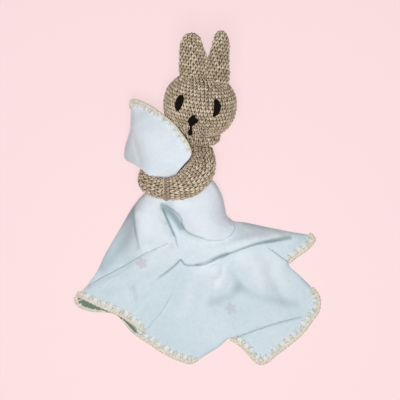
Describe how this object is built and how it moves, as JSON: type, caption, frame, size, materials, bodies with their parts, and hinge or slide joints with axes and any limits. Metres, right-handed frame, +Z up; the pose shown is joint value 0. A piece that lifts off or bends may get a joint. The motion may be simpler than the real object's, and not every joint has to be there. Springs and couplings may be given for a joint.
{
  "type": "rabbit comforter toy",
  "caption": "Crocheted rabbit comforter lying on its back, arms sewn in a ring round a muslin square pulled through by one corner; head turns, ears fold.",
  "frame": {"origin": "middle of the floor area that the toy covers, on the floor", "axes": "+Z up from the floor that the toy lies on, face up; +Y towards the ears; +X to the right as seen from above"},
  "size_m": [0.287, 0.3754, 0.0996],
  "materials": {
    "yarn": "tan cotton yarn worked in tight single crochet, matte, darker between the stitches",
    "face_thread": "near-black brown stitched thread, matte with a faint sheen",
    "muslin": "white double gauze cotton with a cool cast, open weave, finely crinkled",
    "border": "cream cotton cord and blanket stitches along the hem",
    "filling": "white fibre filling, not seen from outside"
  },
  "bodies": {
    "hug": {"neck_roll": "yarn", "torso_cover": "yarn", "torso_stuffing": "filling", "arm_left_cover": "yarn", "arm_left_stuffing": "filling", "arm_right_cover": "yarn", "arm_right_stuffing": "filling", "hand_seam": "yarn", "muslin_cloth": "muslin", "cloth_border_top_corner": "border", "cloth_border_left": "border", "cloth_border_front_left": "border", "cloth_border_front_corner": "border", "cloth_border_right_corner": "border"},
    "head": {"head_cover": "yarn", "head_stuffing": "filling", "eye_left": "face_thread", "eye_right": "face_thread", "nose": "face_thread", "mouth_stitch": "face_thread"},
    "left_ear": {"ear_left": "yarn"},
    "right_ear": {"ear_right": "yarn"}
  },
  "joints": [
    {"name": "head_turn", "type": "hinge", "parent": "hug", "child": "head", "pos_m": [0.00212, 0.1119, 0.04197], "axis": [0.1261, 0.8975, 0.4226], "range_deg": [-30, 30], "stiffness_Nm_per_rad": 0.03},
    {"name": "ear_left_fold", "type": "hinge", "parent": "head", "child": "left_ear", "pos_m": [0.00538, 0.13508, 0.06393], "axis": [0.9903, -0.1392, 0], "range_deg": [-25, 50], "stiffness_Nm_per_rad": 0.03},
    {"name": "ear_right_fold", "type": "hinge", "parent": "head", "child": "right_ear", "pos_m": [0.00538, 0.13508, 0.06393], "axis": [0.9903, -0.1392, 0], "range_deg": [-25, 50], "stiffness_Nm_per_rad": 0.03}
  ]
}
